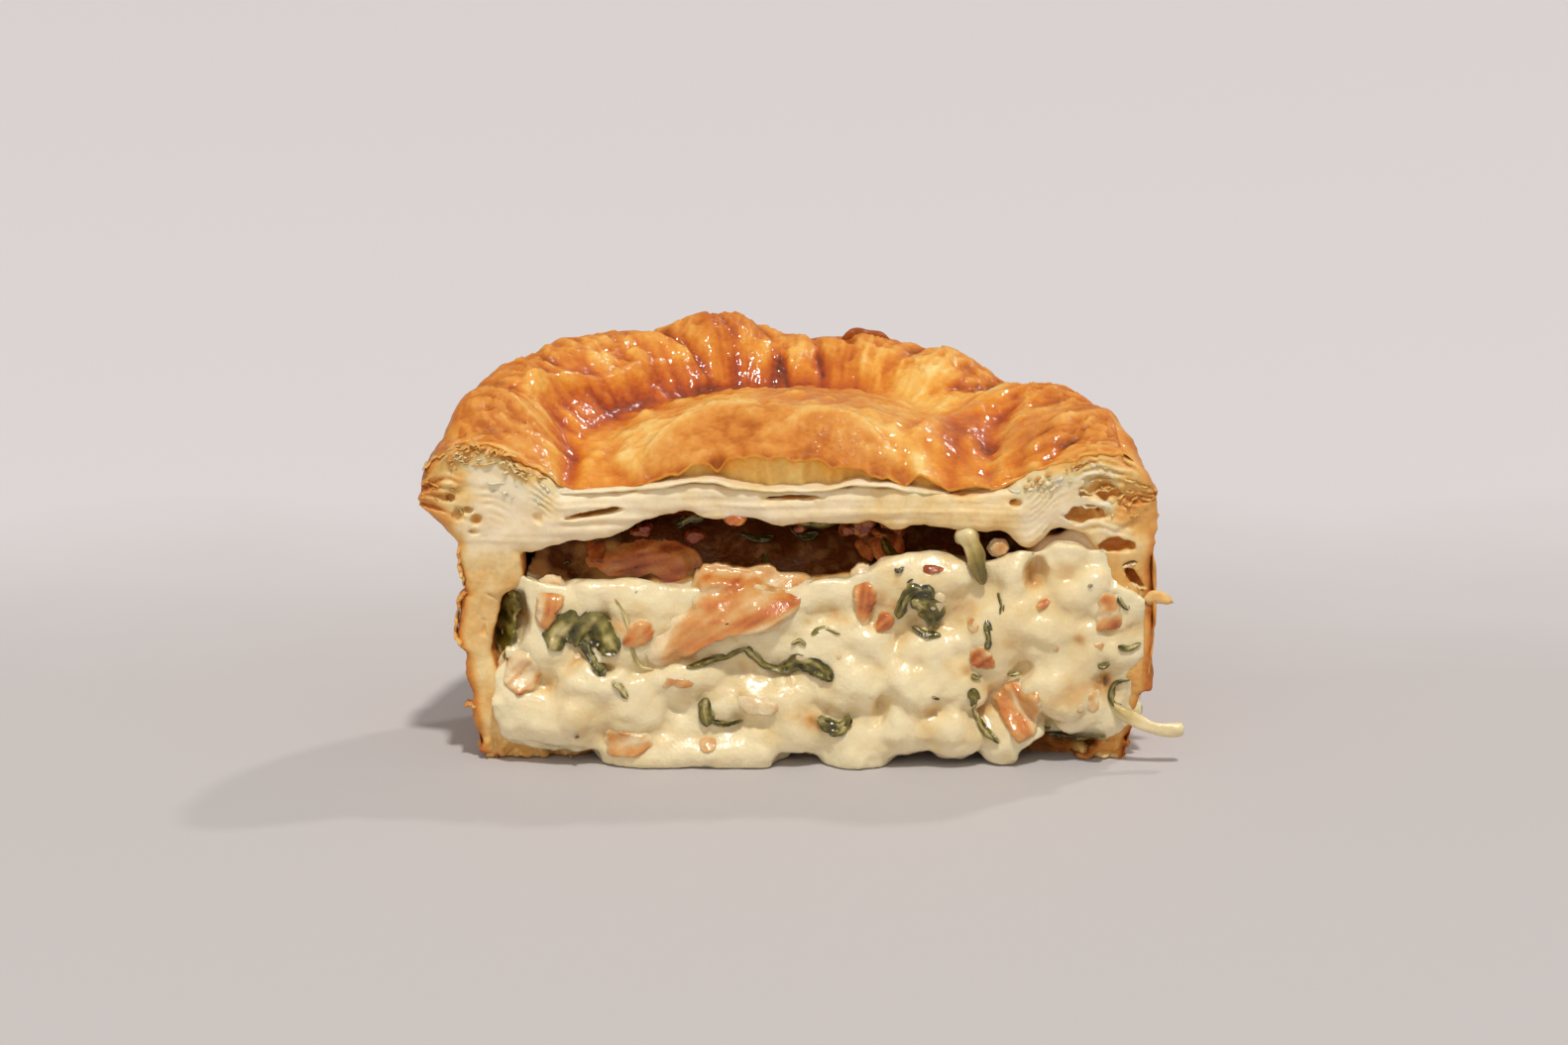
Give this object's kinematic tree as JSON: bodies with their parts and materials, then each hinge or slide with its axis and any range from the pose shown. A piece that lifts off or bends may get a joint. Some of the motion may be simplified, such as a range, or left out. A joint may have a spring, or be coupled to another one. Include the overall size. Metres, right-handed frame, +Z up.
{
  "type": "half of a spinach and bacon pie",
  "caption": "Half of a round deep pie with its cut face open: a pastry case on a flat base, a domed crimped lid, and a creamy filling with bacon, spinach leaves and stems.",
  "frame": {"origin": "on the flat base, at the middle of its half disc, 21 mm behind the cut", "axes": "+Z up, -Y out of the cut face, +X along the cut to the right as seen from in front of it"},
  "size_m": [0.1142, 0.0607, 0.0619],
  "materials": {
    "case_pastry": "baked pastry, pale at the cut and golden outside",
    "lid_pastry": "puff pastry with a glossy egg wash",
    "cream_sauce": "thick glossy cream sauce",
    "bacon": "moist cooked bacon with pale fat",
    "spinach": "wet cooked spinach leaf",
    "stem": "pale green stem, moist"
  },
  "bodies": {
    "root": {"pastry_case": "case_pastry", "pastry_lid": "lid_pastry", "filling": "cream_sauce", "bacon_slab": "bacon", "bacon_corner": "bacon", "bacon_upright": "bacon", "bacon_wedge": "bacon", "bacon_left_top": "bacon", "bacon_left": "bacon", "bacon_foot": "bacon", "bacon_middle": "bacon", "bacon_red": "bacon", "bacon_right": "bacon", "bacon_behind": "bacon", "bacon_strip": "bacon", "spinach_curl": "spinach", "spinach_long": "spinach", "spinach_hook": "spinach", "spinach_scrap": "spinach", "spinach_folded": "spinach", "spinach_strip": "spinach", "spinach_loop": "spinach", "spinach_bottom": "spinach", "spinach_wall": "spinach", "spinach_slip": "spinach", "spinach_roof": "spinach", "stem_upper": "stem", "stem_side": "stem"}
  },
  "joints": []
}
